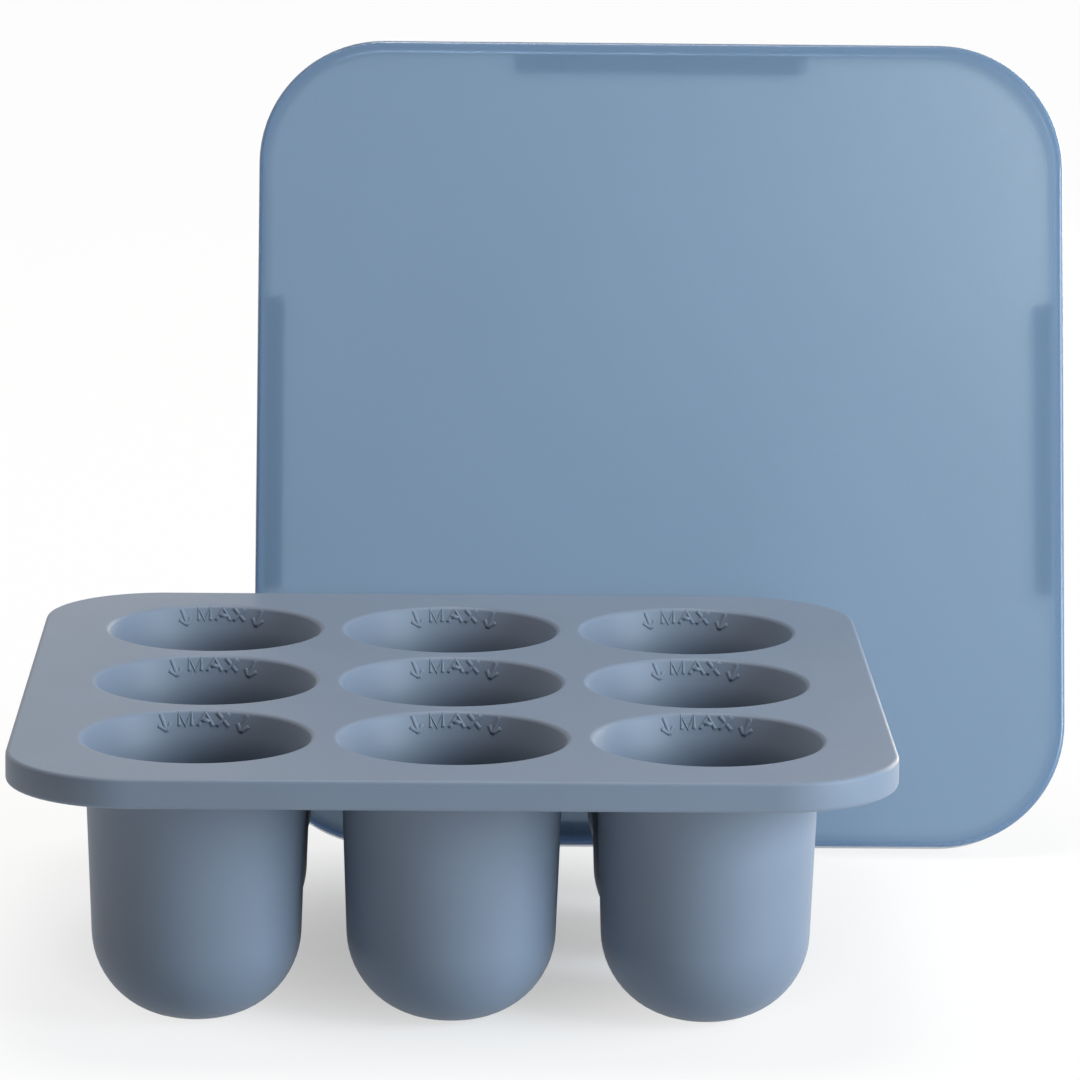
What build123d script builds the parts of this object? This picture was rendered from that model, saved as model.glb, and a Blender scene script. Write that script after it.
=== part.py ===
"""Baby food freezer tray: nine soft cups that hang from a rim, and the lid that clips over it.

Millimetres, +Z up. The origin is the centre of the middle cup's flat foot, on the floor that the
tray stands on. The front is towards -Y. The lid is off the tray and stands on edge behind it.
The rim and the cups are one silicone moulding. Its solids meet on the rim's underside.
"""

import os
from math import cos, radians, sin, tan

from build123d import *

# Cups
row_names = ("front", "middle", "back")
column_names = ("left", "centre", "right")
cup_outer_radius = 23.4  # at the underside of the rim
cup_height = 53.6  # floor to the underside of the rim
cup_wall = 1.8
cup_draft = 2.0  # degrees that each wall leans in towards the foot
cup_dome_radius = 18.5  # outside of the rounded bottom
cup_root_radius = 1.5  # where a cup leaves the rim
mouth_flare = 2.7  # how much wider the mouth is than the cup's inside
flare_depth = 8.0  # from the rim's top down to where the flare ends
flare_blend_radius = 20.0
lip_radius = 1.1  # rounding of the mouth's edge

# Rim
rim_thickness = 6.4
rim_margin = 13.8  # from the outer lips to the rim's edge
rim_corner_radius = 27.0
rim_edge_radius = 0.9
web_between_lips = 3.0

# Lid
lid_wall = 1.5
lid_side_clearance = 1.0  # round the rim, when the lid is on
lid_top_clearance = 0.3  # between the rim's top and the panel, when the lid is on
lid_edge_radius = 1.0  # outside edge of the panel
lid_inner_radius = 2.0  # inside corner of panel and skirt
skirt_edge_radius = 0.5
catch_length = 70.0
catch_hook = 3.5  # how far a catch reaches under the rim
catch_thickness = 1.6
catch_clearance = 0.3  # between a catch and the rim's underside, when the lid is on
catch_end_radius = 1.2
catch_lead_in = 0.7  # chamfer that guides the rim past the catch

# Where the lid stands
lid_lean = 17.0  # degrees back from upright
lid_standoff = 2.2  # from the back of the rim to the lid's face
lid_shift = 49.5  # to the right of the tray's middle

# Sizes that follow from the ones above
cup_slope = tan(radians(cup_draft))
wall_across = cup_wall / cos(radians(cup_draft))
cup_inner_radius = cup_outer_radius - wall_across
mouth_radius = cup_inner_radius + mouth_flare
lip_outer_radius = mouth_radius + lip_radius
cup_pitch = 2 * lip_outer_radius + web_between_lips
tray_height = cup_height + rim_thickness
tray_width = (len(column_names) - 1) * cup_pitch + 2 * (lip_outer_radius + rim_margin)
tray_length = (len(row_names) - 1) * cup_pitch + 2 * (lip_outer_radius + rim_margin)
rim_underside = Plane.XY.offset(cup_height)

lid_inside_width = tray_width + 2 * lid_side_clearance
lid_inside_length = tray_length + 2 * lid_side_clearance
lid_inside_corner = rim_corner_radius + lid_side_clearance
lid_width = lid_inside_width + 2 * lid_wall
lid_length = lid_inside_length + 2 * lid_wall
lid_corner_radius = lid_inside_corner + lid_wall
lid_inside_depth = lid_top_clearance + rim_thickness + catch_clearance + catch_thickness
lid_depth = lid_wall + lid_inside_depth
catch_projection = lid_side_clearance + catch_hook
catch_root = lid_wall - skirt_edge_radius / 2  # part of a catch's width that is inside the skirt

lean = radians(lid_lean)
lid_centre_z = (
    (lid_length / 2 - skirt_edge_radius) * cos(lean)
    + (lid_depth - skirt_edge_radius) * sin(lean)
    + skirt_edge_radius
)
lid_centre_y = tray_length / 2 + lid_standoff + (lid_centre_z - cup_height) * tan(lean)
lid_face = Plane(
    origin=(lid_shift, lid_centre_y, lid_centre_z),
    x_dir=(1, 0, 0),
    z_dir=(0, -cos(lean), sin(lean)),
)
lid_outward = Axis(lid_face.origin, lid_face.z_dir)

os.makedirs("parts", exist_ok=True)


def wall_radius(height, top_radius):
    """Radius of a drafted cup wall at a height above the floor."""
    return top_radius - cup_slope * (cup_height - height)


# The hollow of one cup, with its flared mouth
flare_end = tray_height - flare_depth
with BuildPart() as hollow:
    with BuildSketch(Plane.XZ) as hollow_section:
        with BuildLine():
            Polyline(
                (0, cup_wall),
                (wall_radius(cup_wall, cup_inner_radius), cup_wall),
                (wall_radius(flare_end, cup_inner_radius), flare_end),
                (mouth_radius, tray_height),
                (0, tray_height),
                close=True,
            )
        make_face()
        bottom_corner = hollow_section.vertices().group_by(Axis.Y)[0].sort_by(Axis.X)[-1]
        fillet(bottom_corner, radius=cup_dome_radius - cup_wall)
        flare_corner = hollow_section.vertices().sort_by(Axis.Y)[-3]
        fillet(flare_corner, radius=flare_blend_radius)
    revolve(axis=Axis.Z)

# The rim: a flat rounded square with a soft-lipped mouth for each cup
with BuildPart() as rim:
    with BuildSketch(rim_underside):
        RectangleRounded(tray_width, tray_length, rim_corner_radius)
    extrude(amount=rim_thickness)
    fillet(rim.faces().filter_by(Axis.Z).edges(), radius=rim_edge_radius)
    with GridLocations(cup_pitch, cup_pitch, len(column_names), len(row_names)):
        add(hollow.part, mode=Mode.SUBTRACT)
    mouths = rim.edges().filter_by(GeomType.CIRCLE).filter_by(Edge.is_closed)
    fillet(mouths.group_by(Axis.Z)[-1], radius=lip_radius)

rim.part.label = "rim"
export_step(rim.part, "parts/rim.step")

# One cup: a drafted wall that turns into a domed bottom with a small flat foot
with BuildPart() as cup:
    with BuildSketch(Plane.XZ) as cup_section:
        with BuildLine():
            Polyline(
                (0, 0),
                (wall_radius(0, cup_outer_radius), 0),
                (cup_outer_radius, cup_height),
                (cup_outer_radius + rim_thickness, cup_height),
                (cup_outer_radius + rim_thickness, tray_height),
                (0, tray_height),
                close=True,
            )
        make_face()
        foot_corner = cup_section.vertices().group_by(Axis.Y)[0].sort_by(Axis.X)[-1]
        fillet(foot_corner, radius=cup_dome_radius)
        root_corner = cup_section.vertices().group_by(Axis.Y)[-2].sort_by(Axis.X)[0]
        fillet(root_corner, radius=cup_root_radius)
    revolve(axis=Axis.Z)
    add(hollow.part, mode=Mode.SUBTRACT)
    split(bisect_by=rim_underside, keep=Keep.BOTTOM)

cup_places = GridLocations(cup_pitch, cup_pitch, len(column_names), len(row_names))
cup_names = [f"cup_{row}_{column}" for column in column_names for row in row_names]
for name, place in zip(cup_names, cup_places):
    with BuildPart() as placed_cup:
        with Locations(place):
            add(cup.part)
    placed_cup.part.label = name
    export_step(placed_cup.part, f"parts/{name}.step")

# One catch, on the right side of a lid that faces up: it hooks under the rim
with BuildPart() as catch:
    with BuildSketch(Plane.XY.offset(-lid_depth)):
        Rectangle(catch_root + catch_projection, catch_length)
    extrude(amount=catch_thickness)
    fillet(catch.faces().sort_by(Axis.X)[0].edges().filter_by(Axis.Z), radius=catch_end_radius)
    chamfer(catch.edges().group_by(Axis.Z)[0].sort_by(Axis.X)[:-1], length=catch_lead_in)

# The lid: a shallow cap with a catch along the middle of each side
catch_centre = (catch_root - catch_projection) / 2  # outwards from the skirt's inside
right_catch = Location((lid_inside_width / 2 + catch_centre, 0))
top_catch = Location((0, lid_inside_length / 2 + catch_centre), 90)
with BuildPart() as lid:
    with BuildSketch(lid_face):
        RectangleRounded(lid_width, lid_length, lid_corner_radius)
    extrude(amount=-lid_depth)
    fillet(lid.faces().sort_by(lid_outward)[-1].edges(), radius=lid_edge_radius)
    with BuildSketch(lid_face.offset(-lid_wall)):
        RectangleRounded(lid_inside_width, lid_inside_length, lid_inside_corner)
    extrude(amount=-lid_inside_depth, mode=Mode.SUBTRACT)
    fillet(lid.faces().sort_by(lid_outward)[0].edges(), radius=skirt_edge_radius)
    ceiling = lid.faces().filter_by(lid_outward).sort_by(lid_outward)[-2]
    fillet(ceiling.edges(), radius=lid_inner_radius)
    with Locations(lid_face):
        with PolarLocations(0, 2):
            with Locations(right_catch, top_catch):
                add(catch.part)

lid.part.label = "lid"
export_step(lid.part, "parts/lid.step")
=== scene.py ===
"""A baby food freezer tray and its lid: soft silicone cups in a rim, and a frosted plastic cap.

Sizes are in millimetres, as a maker would give them. A mesh is built in millimetres and comes to
metres as it becomes a piece. The front is towards -Y and the floor is at Z = 0.
"""

import logging
from dataclasses import dataclass
from enum import Enum
from math import cos, pi, radians, sin, tan
from typing import Any, Iterator, Optional, Sequence

import bmesh
import bpy
from bmesh.types import BMEdge, BMesh, BMFace, BMVert
from mathutils import Matrix, Vector
from mathutils.bvhtree import BVHTree


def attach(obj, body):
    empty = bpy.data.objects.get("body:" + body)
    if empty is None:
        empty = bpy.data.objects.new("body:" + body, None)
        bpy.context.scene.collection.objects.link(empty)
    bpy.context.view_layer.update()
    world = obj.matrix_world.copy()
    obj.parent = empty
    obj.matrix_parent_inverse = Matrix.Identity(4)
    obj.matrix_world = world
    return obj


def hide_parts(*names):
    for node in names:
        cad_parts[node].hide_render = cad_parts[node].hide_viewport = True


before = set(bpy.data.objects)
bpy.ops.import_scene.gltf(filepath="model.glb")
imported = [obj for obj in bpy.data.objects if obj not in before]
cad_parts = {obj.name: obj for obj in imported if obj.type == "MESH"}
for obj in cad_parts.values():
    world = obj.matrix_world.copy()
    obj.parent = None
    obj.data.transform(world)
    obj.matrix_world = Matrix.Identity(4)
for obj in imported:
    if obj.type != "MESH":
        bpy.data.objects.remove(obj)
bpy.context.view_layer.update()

log = logging.getLogger("freezer_tray")

MILLIMETRE = 0.001  # metres
SAME_POINT = 0.001  # mm; corners that lie closer than this are one


class Body(Enum):
    """The bodies of the object that a piece can ride on."""

    TRAY = "tray"
    LID = "lid"


class Slot(Enum):
    """The material slots that a piece takes its finish from."""

    SILICONE = "silicone"
    FROSTED_PLASTIC = "frosted_plastic"


class Rounded(Enum):
    """What a bevel rounds."""

    CORNERS = "VERTICES"
    EDGES = "EDGES"


# Helpers


def linear(hex_colour: str) -> tuple[float, float, float, float]:
    """Turn an sRGB hex colour into a linear one.

    Args:
        hex_colour: the colour as "#RRGGBB".

    Returns:
        Linear red, green and blue, and an alpha of 1.
    """
    channels = [int(hex_colour[start:start + 2], 16) / 255 for start in (1, 3, 5)]
    red, green, blue = (
        channel / 12.92 if channel <= 0.04045 else ((channel + 0.055) / 1.055) ** 2.4
        for channel in channels
    )
    return red, green, blue, 1.0


def add_node(
    tree: bpy.types.NodeTree,
    kind: str,
    values: Optional[dict[Any, Any]] = None,
    links: Optional[dict[Any, bpy.types.NodeSocket]] = None,
    **settings: Any,
) -> bpy.types.Node:
    """Add one node to a node tree.

    Args:
        tree: the tree that gets the node.
        kind: the node's type name.
        values: what each unlinked input is set to, by the input's name or number.
        links: the output that feeds each linked input, by the input's name or number.
        **settings: the node's own settings, such as its operation.

    Returns:
        The new node.
    """
    node = tree.nodes.new(kind)
    for name, setting in settings.items():
        setattr(node, name, setting)
    for socket, value in (values or {}).items():
        node.inputs[socket].default_value = value
    for socket, output in (links or {}).items():
        tree.links.new(output, node.inputs[socket])
    return node


def empty_material(name: str) -> bpy.types.Material:
    """Return a new material whose node tree is empty."""
    material = bpy.data.materials.new(name)
    material.use_nodes = True
    material.node_tree.nodes.clear()
    return material


def add_object(name: str, data: bpy.types.ID) -> bpy.types.Object:
    """Return a new object of the scene, made from a mesh, a camera or a light."""
    new_object = bpy.data.objects.new(name, data)
    bpy.context.scene.collection.objects.link(new_object)
    return new_object


def add_piece(
    name: str, mesh: BMesh, body: Body, material: bpy.types.Material
) -> bpy.types.Object:
    """Turn a mesh in millimetres into a smooth piece that rides on a body.

    Args:
        name: the piece's name.
        mesh: the finished mesh, which is freed.
        body: the body that the piece moves with.
        material: the material that it wears here.

    Returns:
        The new object.
    """
    bmesh.ops.scale(mesh, vec=(MILLIMETRE,) * 3, verts=mesh.verts)
    data = bpy.data.meshes.new(name)
    mesh.to_mesh(data)
    mesh.free()
    data.shade_smooth()
    data.materials.append(material)
    piece = add_object(name, data)
    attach(piece, body.value)
    return piece


def bevel(
    mesh: BMesh,
    geometry: Sequence[BMVert | BMEdge],
    rounded: Rounded,
    offset: float,
    segments: int,
) -> None:
    """Give corners or edges a circular rounding.

    Args:
        mesh: the mesh that holds them.
        geometry: the corners or edges to round.
        rounded: whether corners or edges are rounded.
        offset: how far back from each the rounding starts.
        segments: how many steps the rounding gets.
    """
    bmesh.ops.bevel(
        mesh,
        geom=geometry,
        offset=offset,
        offset_type="OFFSET",
        affect=rounded.value,
        segments=segments,
        profile=0.5,
        material=-1,
    )


def round_corner(mesh: BMesh, corner: BMVert, radius: float, segments: int) -> None:
    """Round one corner of a wire profile.

    Args:
        mesh: the mesh that holds the profile.
        corner: the corner, which two edges share.
        radius: the radius of the rounding.
        segments: how many edges the rounding gets.
    """
    before, after = (edge.other_vert(corner).co - corner.co for edge in corner.link_edges)
    turn = pi - before.angle(after)
    bevel(mesh, [corner], Rounded.CORNERS, radius * tan(turn / 2), segments)


def many_sided_faces(mesh: BMesh) -> list[BMFace]:
    """Return the faces with more than four corners, such as a rim's top and underside."""
    return [face for face in mesh.faces if len(face.verts) > 4]


def is_open_at(edge: BMEdge, height: float) -> bool:
    """Return whether an edge is the border of a hole at a height."""
    return edge.is_boundary and all(
        abs(corner.co.z - height) < SAME_POINT for corner in edge.verts
    )


# Finishes


@dataclass(frozen=True)
class MouldedFinish:
    """What moulded finishes share: a fine even tooth, and pigment that clouds very slightly."""

    deep_colour: str
    pale_colour: str
    roughness: float
    refractive_index: float
    tooth: float  # mm, between grains, which are drawn coarser than the real ones so as to show
    tooth_height: float  # mm
    clouding: float  # mm, across one cloud
    clouding_detail: float  # how many finer sizes of cloud are mixed in
    roughness_spread: float = 0.04  # from the smoothest grain to the mean
    tooth_detail: float = 2.0  # how many finer sizes of grain are mixed in
    finer_tooth: float = 0.6  # and how strong each is next to the one before

    def surface(
        self, tree: bpy.types.NodeTree, place: bpy.types.NodeSocket
    ) -> dict[str, bpy.types.NodeSocket]:
        """Add the nodes that give the surface its colour and its tooth.

        Args:
            tree: the material's node tree.
            place: the place on the piece, which the patterns follow.

        Returns:
            What feeds the shader's colour, roughness and normal, by the name of the input.
        """
        grain = add_node(
            tree,
            "ShaderNodeTexNoise",
            values={
                "Scale": 1 / (self.tooth * MILLIMETRE),
                "Detail": self.tooth_detail,
                "Roughness": self.finer_tooth,
            },
            links={"Vector": place},
        )
        clouds = add_node(
            tree,
            "ShaderNodeTexNoise",
            values={"Scale": 1 / (self.clouding * MILLIMETRE), "Detail": self.clouding_detail},
            links={"Vector": place},
        )
        colour = add_node(
            tree,
            "ShaderNodeMix",
            values={"A": linear(self.deep_colour), "B": linear(self.pale_colour)},
            links={"Factor": clouds.outputs["Fac"]},
            data_type="RGBA",
        )
        roughness = add_node(
            tree,
            "ShaderNodeMapRange",
            values={
                "To Min": self.roughness - self.roughness_spread,
                "To Max": self.roughness + self.roughness_spread,
            },
            links={"Value": grain.outputs["Fac"]},
        )
        bump = add_node(
            tree,
            "ShaderNodeBump",
            values={"Strength": 1.0, "Distance": self.tooth_height * MILLIMETRE},
            links={"Height": grain.outputs["Fac"]},
        )
        return {
            "Base Color": colour.outputs["Result"],
            "Roughness": roughness.outputs["Result"],
            "Normal": bump.outputs["Normal"],
        }


@dataclass(frozen=True)
class MouldedSilicone(MouldedFinish):
    """Food-grade silicone rubber, compression moulded in a blasted mould.

    The blasted mould leaves it matte, so its lights are broad and soft and it mirrors nothing.
    """

    deep_colour: str = "#75808F"
    pale_colour: str = "#798595"
    roughness: float = 0.52
    refractive_index: float = 1.41
    tooth: float = 0.45
    tooth_height: float = 0.012
    clouding: float = 18.0
    clouding_detail: float = 3.0

    def material(self) -> bpy.types.Material:
        """Return the material."""
        material = empty_material("moulded_silicone")
        tree = material.node_tree
        place = add_node(tree, "ShaderNodeTexCoord").outputs["Object"]
        shader = add_node(
            tree,
            "ShaderNodeBsdfPrincipled",
            values={"IOR": self.refractive_index},
            links=self.surface(tree, place),
        )
        add_node(tree, "ShaderNodeOutputMaterial", links={"Surface": shader.outputs["BSDF"]})
        return material


@dataclass(frozen=True)
class FrostedPolypropylene(MouldedFinish):
    """Tinted polypropylene, injection moulded against a finely etched mould.

    The etching scatters what is behind it, so the lid glows softly and only what nearly touches
    it shows through, blurred. The rounded edges and the skirt come from a smoother part of the
    mould, so they carry a thin pale line along the panel.
    """

    deep_colour: str = "#7A93AA"
    pale_colour: str = "#8099B0"
    roughness: float = 0.5
    refractive_index: float = 1.49
    tooth: float = 0.5
    tooth_height: float = 0.01
    clouding: float = 45.0
    clouding_detail: float = 2.0
    panel_lean: float = 17.0  # degrees back from upright
    edge_roughness: float = 0.24
    edge_facing: float = 0.95  # cosine of a face's turn from the panel; below this it is smooth
    panel_facing: float = 0.995  # and above this it is frosted in full
    clearness: float = 0.46  # the share of light that goes in and comes out scattered
    cover: float = 0.86  # the share of light that a surface doesn't let pass straight through
    depth_colour: str = "#50B5EC"  # the tint that light takes on along a way inside it
    depth: float = 6.4  # mm, over which that tint builds up

    def frosting(
        self,
        tree: bpy.types.NodeTree,
        normal: bpy.types.NodeSocket,
        panel_roughness: bpy.types.NodeSocket,
    ) -> bpy.types.NodeSocket:
        """Add the nodes that leave the edges and the skirt smoother than the panel.

        Args:
            tree: the material's node tree.
            normal: the way that a face of the piece points.
            panel_roughness: the roughness of the panel.

        Returns:
            The roughness of the whole lid.
        """
        lean = radians(self.panel_lean)
        facing = add_node(
            tree,
            "ShaderNodeVectorMath",
            values={1: (0, -cos(lean), sin(lean))},
            links={0: normal},
            operation="DOT_PRODUCT",
        )
        either_side = add_node(
            tree, "ShaderNodeMath", links={0: facing.outputs["Value"]}, operation="ABSOLUTE"
        )
        frosting = add_node(
            tree,
            "ShaderNodeMapRange",
            values={
                "From Min": self.edge_facing,
                "From Max": self.panel_facing,
                "To Min": self.edge_roughness,
            },
            links={"Value": either_side.outputs["Value"], "To Max": panel_roughness},
        )
        return frosting.outputs["Result"]

    def material(self) -> bpy.types.Material:
        """Return the material."""
        material = empty_material("frosted_polypropylene")
        tree = material.node_tree
        piece = add_node(tree, "ShaderNodeTexCoord").outputs
        surface = self.surface(tree, piece["Object"])
        surface["Roughness"] = self.frosting(tree, piece["Normal"], surface["Roughness"])
        shader = add_node(
            tree,
            "ShaderNodeBsdfPrincipled",
            values={
                "IOR": self.refractive_index,
                "Transmission Weight": self.clearness,
                "Alpha": self.cover,
            },
            links=surface,
        )
        tint = add_node(
            tree,
            "ShaderNodeVolumeAbsorption",
            values={
                "Color": linear(self.depth_colour),
                "Density": 1 / (self.depth * MILLIMETRE),
            },
        )
        add_node(
            tree,
            "ShaderNodeOutputMaterial",
            links={"Surface": shader.outputs["BSDF"], "Volume": tint.outputs["Volume"]},
        )
        return material


# The tray


@dataclass
class SiliconeTray:
    """Nine round-bottomed cups and their rim, moulded as one piece of silicone."""

    rows: tuple[str, ...] = ("front", "middle", "back")
    columns: tuple[str, ...] = ("left", "centre", "right")
    cup_outer_radius: float = 23.4  # at the underside of the rim
    cup_height: float = 53.6  # floor to the underside of the rim
    cup_wall: float = 1.8
    cup_draft: float = 2.0  # degrees that each wall leans in towards the foot
    dome_radius: float = 18.5  # outside of the rounded bottom
    root_radius: float = 1.5  # where a cup leaves the rim
    mouth_flare: float = 2.7  # how much wider the mouth is than the cup's inside
    flare_depth: float = 8.0  # from the rim's top down to where the flare ends
    flare_blend_radius: float = 20.0
    lip_radius: float = 1.1  # rounding of the mouth's edge
    rim_thickness: float = 6.4
    rim_margin: float = 13.8  # from the outer lips to the rim's edge
    rim_corner_radius: float = 27.0
    rim_edge_radius: float = 0.9
    web_between_lips: float = 3.0
    flat_border: float = 0.3  # a narrow flat band that keeps a flat face's shading flat
    turned_steps: int = 96  # round a cup
    lip_steps: int = 8
    flare_blend_steps: int = 5
    inner_dome_steps: int = 14
    outer_dome_steps: int = 16
    root_steps: int = 5
    rim_corner_steps: int = 16
    rim_edge_steps: int = 5

    @property
    def height(self) -> float:
        """Height of the rim's top."""
        return self.cup_height + self.rim_thickness

    @property
    def inner_radius(self) -> float:
        """Inside radius of a cup's wall at the underside of the rim."""
        return self.cup_outer_radius - self.cup_wall / cos(radians(self.cup_draft))

    @property
    def mouth_radius(self) -> float:
        """Radius of a mouth's corner before its lip is rounded."""
        return self.inner_radius + self.mouth_flare

    @property
    def pitch(self) -> float:
        """Distance between the middles of two neighbouring cups."""
        return 2 * (self.mouth_radius + self.lip_radius) + self.web_between_lips

    @property
    def half_width(self) -> float:
        """Half of the rim's width."""
        return self.pitch + self.mouth_radius + self.lip_radius + self.rim_margin

    def wall_radius(self, height: float, top_radius: float) -> float:
        """Return a drafted wall's radius at a height, from its radius under the rim."""
        return top_radius - tan(radians(self.cup_draft)) * (self.cup_height - height)

    def other_cup_centres(self) -> Iterator[Vector]:
        """Yield the middle of each cup but the middle one, on the floor."""
        for column in range(len(self.columns)):
            for row in range(len(self.rows)):
                centre = Vector(((column - 1) * self.pitch, (row - 1) * self.pitch, 0))
                if centre.length > SAME_POINT:
                    yield centre

    def copy_to_other_cups(self, mesh: BMesh) -> None:
        """Copy all that a mesh holds for the middle cup to the other cups."""
        first = mesh.verts[:] + mesh.edges[:] + mesh.faces[:]
        for centre in self.other_cup_centres():
            copy = bmesh.ops.duplicate(mesh, geom=first)
            moved = [item for item in copy["geom"] if isinstance(item, BMVert)]
            bmesh.ops.translate(mesh, vec=centre, verts=moved)

    def add_turned_skin(
        self,
        mesh: BMesh,
        corners: list[tuple[float, float]],
        roundings: dict[int, tuple[float, int]],
    ) -> None:
        """Turn a profile with rounded corners into one skin of a cup.

        Args:
            mesh: the mesh that gets the skin.
            corners: radius and height of each corner, from the rim to the cup's axis.
            roundings: radius and number of edges of each rounding, by its corner's number.
        """
        profile = bmesh.new()
        points = [profile.verts.new((radius, 0, height)) for radius, height in corners]
        for pair in zip(points, points[1:]):
            profile.edges.new(pair)
        for number, (radius, segments) in roundings.items():
            round_corner(profile, points[number], radius, segments)
        bmesh.ops.spin(
            profile,
            geom=profile.verts[:] + profile.edges[:],
            cent=(0, 0, 0),
            axis=(0, 0, 1),
            angle=2 * pi,
            steps=self.turned_steps,
            use_merge=True,
        )
        bmesh.ops.remove_doubles(profile, verts=profile.verts, dist=SAME_POINT)
        skin = bpy.data.meshes.new("skin")
        profile.to_mesh(skin)
        profile.free()
        mesh.from_mesh(skin)
        bpy.data.meshes.remove(skin)

    def cup(self) -> BMesh:
        """Return one cup's inner and outer skins, round the Z axis."""
        mesh = bmesh.new()
        flare_end = self.height - self.flare_depth
        lip_start = self.mouth_radius + self.lip_radius
        self.add_turned_skin(
            mesh,
            corners=[
                (lip_start + self.flat_border, self.height),
                (self.mouth_radius, self.height),
                (self.wall_radius(flare_end, self.inner_radius), flare_end),
                (self.wall_radius(self.cup_wall, self.inner_radius), self.cup_wall),
                (0, self.cup_wall),
            ],
            roundings={
                1: (self.lip_radius, self.lip_steps),
                2: (self.flare_blend_radius, self.flare_blend_steps),
                3: (self.dome_radius - self.cup_wall, self.inner_dome_steps),
            },
        )
        self.add_turned_skin(
            mesh,
            corners=[
                (self.cup_outer_radius + self.root_radius + self.flat_border, self.cup_height),
                (self.cup_outer_radius, self.cup_height),
                (self.wall_radius(0, self.cup_outer_radius), 0),
                (0, 0),
            ],
            roundings={
                1: (self.root_radius, self.root_steps),
                2: (self.dome_radius, self.outer_dome_steps),
            },
        )
        return mesh

    def add_rim(self, mesh: BMesh) -> None:
        """Add the rim's edge, from a narrow flat band on its top to one on its underside."""
        corners = bmesh.ops.create_grid(mesh, x_segments=1, y_segments=1, size=self.half_width)
        bmesh.ops.translate(mesh, vec=(0, 0, self.cup_height), verts=corners["verts"])
        bevel(
            mesh,
            corners["verts"],
            Rounded.CORNERS,
            self.rim_corner_radius,
            self.rim_corner_steps,
        )
        raised = bmesh.ops.extrude_face_region(
            mesh, geom=many_sided_faces(mesh), use_keep_orig=True
        )
        top = [item for item in raised["geom"] if isinstance(item, BMVert)]
        bmesh.ops.translate(mesh, vec=(0, 0, self.rim_thickness), verts=top)
        outline = [edge for face in many_sided_faces(mesh) for edge in face.edges]
        bevel(mesh, outline, Rounded.EDGES, self.rim_edge_radius, self.rim_edge_steps)
        bmesh.ops.inset_region(
            mesh,
            faces=many_sided_faces(mesh),
            thickness=self.flat_border,
            use_even_offset=True,
            use_boundary=True,
        )
        bmesh.ops.delete(mesh, geom=many_sided_faces(mesh), context="FACES_ONLY")

    def moulding(self) -> BMesh:
        """Return the whole tray as one closed mesh."""
        mesh = self.cup()
        self.copy_to_other_cups(mesh)
        self.add_rim(mesh)
        for height, normal in ((self.height, (0, 0, 1)), (self.cup_height, (0, 0, -1))):
            border = [edge for edge in mesh.edges if is_open_at(edge, height)]
            bmesh.ops.triangle_fill(mesh, use_beauty=True, edges=border, normal=normal)
        bmesh.ops.remove_doubles(mesh, verts=mesh.verts, dist=SAME_POINT)
        bmesh.ops.recalc_face_normals(mesh, faces=mesh.faces)
        return mesh

    def build(self, material: bpy.types.Material) -> bpy.types.Object:
        """Return the tray as a piece that stands for the rim and the cups.

        Args:
            material: the silicone's finish.

        Returns:
            The piece.
        """
        mesh = self.moulding()
        open_edges = sum(edge.is_boundary or edge.is_wire for edge in mesh.edges)
        log.info("tray moulding: %d faces, %d open edges", len(mesh.faces), open_edges)
        piece = add_piece("tray_moulding", mesh, Body.TRAY, material)
        cups = [f"cup_{row}_{column}" for column in self.columns for row in self.rows]
        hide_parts("rim", *cups)
        return piece


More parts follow.
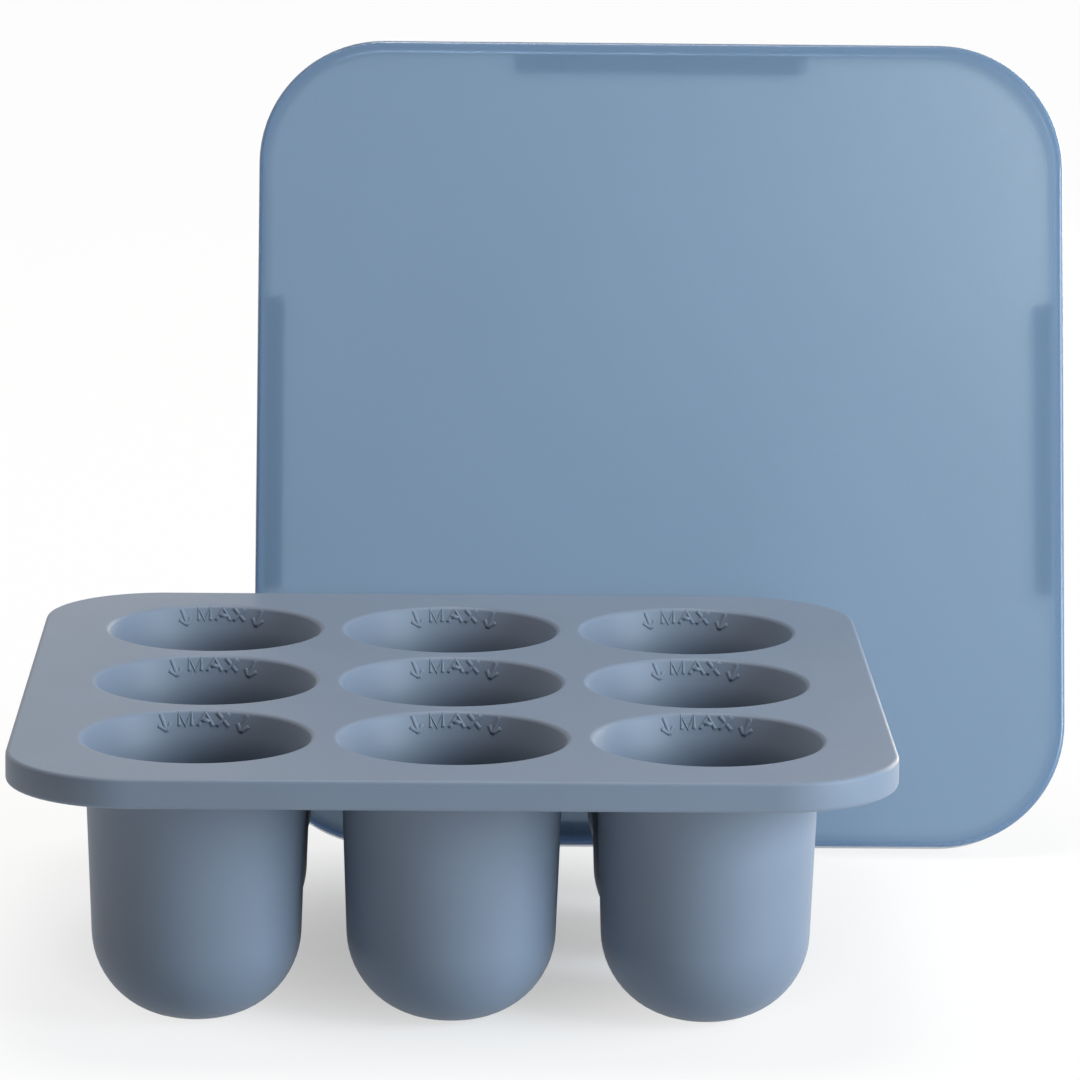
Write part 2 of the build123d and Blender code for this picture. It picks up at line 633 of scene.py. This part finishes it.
@dataclass
class FillMarks:
    """Raised marks on the far wall of each cup, which show how far to fill it.

    Each is a word between two arrows that point down. A stroke is a low round bead, half sunk
    in the wall. Places are across the wall and up from the rim's top.
    """

    tray: SiliconeTray
    bead_radius: float = 0.42
    bead_steps: int = 2  # in a quarter of a bead's section
    relief: float = 0.16  # how far a bead stands out of the wall
    shift: float = 0.7  # of the whole mark, to the right
    word_top: float = -0.6
    word_foot: float = -3.3
    letter_m: tuple[float, float] = (-5.0, -2.5)  # a letter's left and right
    letter_a: tuple[float, float] = (-1.3, 1.7)
    letter_x: tuple[float, float] = (2.5, 4.9)
    bar_a: tuple[float, float] = (-0.8, 1.2)
    bar_rise: float = 1.1  # of that bar, from the word's foot
    arrow_top: float = -0.65
    arrow_foot: float = -4.2
    arrow_tail: float = 8.6  # from the word's middle to an arrow's upper end
    arrow_tip: float = 7.6  # and to its tip
    outer_barb: tuple[float, float] = (9.3, 1.3)  # across, and up from the tip
    inner_barb: tuple[float, float] = (6.7, 1.7)

    def strokes(self) -> list[list[tuple[float, float]]]:
        """Return the bead lines of one cup's marks, as places across and up the wall."""
        top, foot = self.word_top, self.word_foot
        (m_left, m_right), (a_left, a_right) = self.letter_m, self.letter_a
        (x_left, x_right), (bar_left, bar_right) = self.letter_x, self.bar_a
        m_middle, a_middle = (m_left + m_right) / 2, (a_left + a_right) / 2
        bar = foot + self.bar_rise
        lines = [
            [(m_left, foot), (m_left, top), (m_middle, foot), (m_right, top), (m_right, foot)],
            [(a_left, foot), (a_middle, top), (a_right, foot)],
            [(bar_left, bar), (bar_right, bar)],
            [(x_left, top), (x_right, foot)],
            [(x_right, top), (x_left, foot)],
        ]
        for side in (-1, 1):
            tip = (side * self.arrow_tip, self.arrow_foot)
            lines.append([(side * self.arrow_tail, self.arrow_top), tip])
            for across, rise in (self.outer_barb, self.inner_barb):
                lines.append([(side * across, self.arrow_foot + rise), tip])
        return lines

    def flat_marks(self) -> BMesh:
        """Return one cup's marks as closed beads on a flat sheet."""
        curve = bpy.data.curves.new("beads", "CURVE")
        curve.dimensions = "3D"
        curve.bevel_depth = self.bead_radius
        curve.bevel_resolution = self.bead_steps
        curve.use_fill_caps = True
        for line in self.strokes():
            spline = curve.splines.new("POLY")
            spline.points.add(len(line) - 1)
            for point, (across, up) in zip(spline.points, line):
                point.co = (across + self.shift, up, 0, 1)
        beads = bpy.data.objects.new("beads", curve)
        data = bpy.data.meshes.new_from_object(beads)
        mesh = bmesh.new()
        mesh.from_mesh(data)
        bpy.data.objects.remove(beads)
        bpy.data.curves.remove(curve)
        bpy.data.meshes.remove(data)
        bmesh.ops.remove_doubles(mesh, verts=mesh.verts, dist=SAME_POINT)
        self.cut_across(mesh)
        return mesh

    def cut_across(self, mesh: BMesh) -> None:
        """Cut the flat marks every bead's radius up the wall, so that they can follow it."""
        level = self.arrow_foot
        while level < 0:
            bmesh.ops.bisect_plane(
                mesh,
                geom=mesh.verts[:] + mesh.edges[:] + mesh.faces[:],
                dist=SAME_POINT,
                plane_co=(0, level, 0),
                plane_no=(0, 1, 0),
            )
            level += self.bead_radius

    def lay_on_wall(self, mesh: BMesh) -> None:
        """Lay the flat marks on the far wall of the middle cup."""
        cup = self.tray.cup()
        wall = BVHTree.FromBMesh(cup)
        cup.free()
        for corner in mesh.verts:
            angle = corner.co.x / self.tray.inner_radius
            outwards = Vector((sin(angle), cos(angle), 0))
            axis_point = Vector((0, 0, self.tray.height + corner.co.y))
            place, normal, _, _ = wall.ray_cast(axis_point, outwards)
            if normal.dot(outwards) > 0:
                normal.negate()
            corner.co = place + normal * corner.co.z * self.relief / self.bead_radius

    def build(self, material: bpy.types.Material) -> bpy.types.Object:
        """Return the marks of all cups as one piece.

        Args:
            material: the tray's own finish.

        Returns:
            The piece.
        """
        mesh = self.flat_marks()
        self.lay_on_wall(mesh)
        self.tray.copy_to_other_cups(mesh)
        bmesh.ops.recalc_face_normals(mesh, faces=mesh.faces)
        return add_piece("fill_marks", mesh, Body.TRAY, material)


# The lid


@dataclass(frozen=True)
class FrostedLid:
    """The lid, which keeps the solid's own mesh and only gets its finish here."""

    node: str = "lid"

    def build(self, material: bpy.types.Material) -> bpy.types.Object:
        """Return the lid, dressed.

        Args:
            material: the lid's finish.

        Returns:
            The lid's own object.
        """
        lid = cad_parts[self.node]
        for material_slot in lid.material_slots:
            material_slot.material = material
        return lid


# The studio


@dataclass(frozen=True)
class StudioCamera:
    """Where the camera stands and how it is turned."""

    focal_length: float = 194.211  # mm, for the sensor's width
    sensor_width: float = 36.0  # mm
    position: tuple[float, float, float] = (-6.624, -1246.761, 341.158)  # mm
    pitch: float = 0.19747  # radians down
    yaw: float = 0.02054  # radians to the right
    roll: float = 0.01131  # radians

    def build(self) -> bpy.types.Object:
        """Return the camera, set as the scene's own."""
        data = bpy.data.cameras.new("camera")
        data.lens = self.focal_length
        data.sensor_width = self.sensor_width
        camera = add_object("camera", data)
        camera.matrix_world = (
            Matrix.Translation(Vector(self.position) * MILLIMETRE)
            @ Matrix.Rotation(-self.yaw, 4, "Z")
            @ Matrix.Rotation(pi / 2 - self.pitch, 4, "X")
            @ Matrix.Rotation(self.roll, 4, "Z")
        )
        bpy.context.scene.camera = camera
        return camera


@dataclass(frozen=True)
class SoftLamp:
    """A large soft light, aimed at the middle of the object. Its sizes are in metres."""

    name: str
    position: tuple[float, float, float]
    width: float
    height: float
    watts: float
    colour: str
    aim: tuple[float, float, float] = (0.02, 0.03, 0.06)

    def build(self) -> bpy.types.Object:
        """Return the lamp, aimed."""
        data = bpy.data.lights.new(self.name, "AREA")
        data.shape = "RECTANGLE"
        data.size = self.width
        data.size_y = self.height
        data.energy = self.watts
        data.color = linear(self.colour)[:3]
        lamp = add_object(self.name, data)
        lamp.location = self.position
        towards = Vector(self.aim) - Vector(self.position)
        lamp.rotation_euler = towards.to_track_quat("-Z", "Y").to_euler()
        return lamp


@dataclass(frozen=True)
class Studio:
    """A plain white floor, a white surround and soft lamps. Its sizes are in metres.

    The side lamp gives the cups their shape, the top lamp lights the rim, and the back lamp
    shines through the lid from behind its right side.
    """

    ambient: float = 0.03
    ambient_colour: str = "#FFFFFF"
    seen_colour: str = "#FFFFFF"
    floor_colour: str = "#F4F4F4"
    floor_reach: float = 6.0  # from its middle to its edge
    painted_floor_whites: tuple[tuple[float, float], ...] = (
        (0.0, 0.42),
        (0.045, 0.5),
        (0.09, 0.86),
        (0.3, 1.0),
    )  # distance from the middle, and how much of the surround's white the floor shows there as a painted glow; near the object this painted white lightens the object's shadow
    lamps: tuple[SoftLamp, ...] = (
        SoftLamp("side_lamp", (0.98, -0.5, 0.36), 0.65, 0.6, 17.2, "#E1F2FF"),
        SoftLamp("top_lamp", (-0.05, 0.08, 1.2), 0.45, 0.45, 8.6, "#FFF9F5"),
        SoftLamp("back_lamp", (0.6, 0.9, 0.22), 0.7, 0.36, 8.0, "#FFE6C6"),
    )

    def seen_rays(self, tree: bpy.types.NodeTree) -> bpy.types.NodeSocket:
        """Return 1 for a ray that shows the surround, and 0 for one that gathers its light."""
        path = add_node(tree, "ShaderNodeLightPath").outputs
        seen = path["Is Camera Ray"]
        for ray in ("Is Glossy Ray", "Is Transmission Ray"):
            seen = add_node(
                tree,
                "ShaderNodeMath",
                links={0: seen, 1: path[ray]},
                operation="ADD",
                use_clamp=True,
            ).outputs["Value"]
        return seen

    def surround(self) -> bpy.types.World:
        """Return the world: plain ambient light, and white wherever it is seen."""
        world = bpy.data.worlds.new("surround")
        world.use_nodes = True
        tree = world.node_tree
        tree.nodes.clear()
        light = add_node(
            tree,
            "ShaderNodeBackground",
            values={"Color": linear(self.ambient_colour), "Strength": self.ambient},
        )
        white = add_node(
            tree,
            "ShaderNodeBackground",
            values={"Color": linear(self.seen_colour), "Strength": 1.0},
        )
        shown = add_node(
            tree,
            "ShaderNodeMixShader",
            links={
                0: self.seen_rays(tree),
                1: light.outputs["Background"],
                2: white.outputs["Background"],
            },
        )
        add_node(tree, "ShaderNodeOutputWorld", links={"Surface": shown.outputs["Shader"]})
        bpy.context.scene.world = world
        return world

    def whiteness(self, tree: bpy.types.NodeTree) -> bpy.types.NodeSocket:
        """Return how much of the surround's white the floor shows as a painted glow, by its
        distance; near the object it lightens the shadows as painted light.
        """
        place = add_node(tree, "ShaderNodeTexCoord").outputs["Object"]
        distance = add_node(
            tree, "ShaderNodeVectorMath", links={0: place}, operation="LENGTH"
        )
        reach = self.painted_floor_whites[-1][0]
        share = add_node(
            tree,
            "ShaderNodeMath",
            values={1: reach},
            links={0: distance.outputs["Value"]},
            operation="DIVIDE",
            use_clamp=True,
        )
        ramp_node = add_node(
            tree, "ShaderNodeValToRGB", links={"Fac": share.outputs["Value"]}
        )
        ramp = ramp_node.color_ramp
        ramp.interpolation = "B_SPLINE"
        while len(ramp.elements) < len(self.painted_floor_whites):
            ramp.elements.new(0.5)
        for element, (radius, white) in zip(ramp.elements, self.painted_floor_whites):
            element.position = radius / reach
            element.color = (white, white, white, 1.0)
        return ramp_node.outputs["Color"]

    def floor_material(self) -> bpy.types.Material:
        """Return the floor's finish: matt paint mixed with a painted white glow, which lightens
        the shadows near the object and turns into the surround's white further out.
        """
        material = empty_material("matt_white_floor")
        tree = material.node_tree
        # painted light: near the object the floor's white glow lifts the object's shadow, which
        # the lamps alone would leave darker
        white_part = add_node(
            tree,
            "ShaderNodeMath",
            links={0: self.seen_rays(tree), 1: self.whiteness(tree)},
            operation="MULTIPLY",
        )
        paint = add_node(
            tree, "ShaderNodeBsdfDiffuse", values={"Color": linear(self.floor_colour)}
        )
        white = add_node(
            tree,
            "ShaderNodeEmission",
            values={"Color": linear(self.seen_colour), "Strength": 1.0},
        )
        shown = add_node(
            tree,
            "ShaderNodeMixShader",
            links={
                0: white_part.outputs["Value"],
                1: paint.outputs["BSDF"],
                2: white.outputs["Emission"],
            },
        )
        add_node(tree, "ShaderNodeOutputMaterial", links={"Surface": shown.outputs["Shader"]})
        return material

    def floor(self) -> bpy.types.Object:
        """Return the floor, which holds the shadows near the object, lightened there by painted
        white, and is white further out.
        """
        mesh = bmesh.new()
        bmesh.ops.create_grid(mesh, x_segments=1, y_segments=1, size=self.floor_reach)
        data = bpy.data.meshes.new("floor")
        mesh.to_mesh(data)
        mesh.free()
        data.materials.append(self.floor_material())
        floor = add_object("floor", data)
        return floor

    def build(self) -> None:
        """Build the surround, the floor and the lamps, and set how colours are shown."""
        self.surround()
        self.floor()
        for lamp in self.lamps:
            lamp.build()
        bpy.context.scene.view_settings.view_transform = "Standard"


def main() -> None:
    """Build the camera, the studio and each piece of the object."""
    logging.basicConfig(level=logging.INFO)
    StudioCamera().build()
    Studio().build()
    silicone = MouldedSilicone().material()
    tray = SiliconeTray()
    pieces = [
        tray.build(silicone),
        FillMarks(tray).build(silicone),
        FrostedLid().build(FrostedPolypropylene().material()),
    ]
    for piece in pieces:
        log.info("%s: %d faces", piece.name, len(piece.data.polygons))


if __name__ == "__main__":
    main()
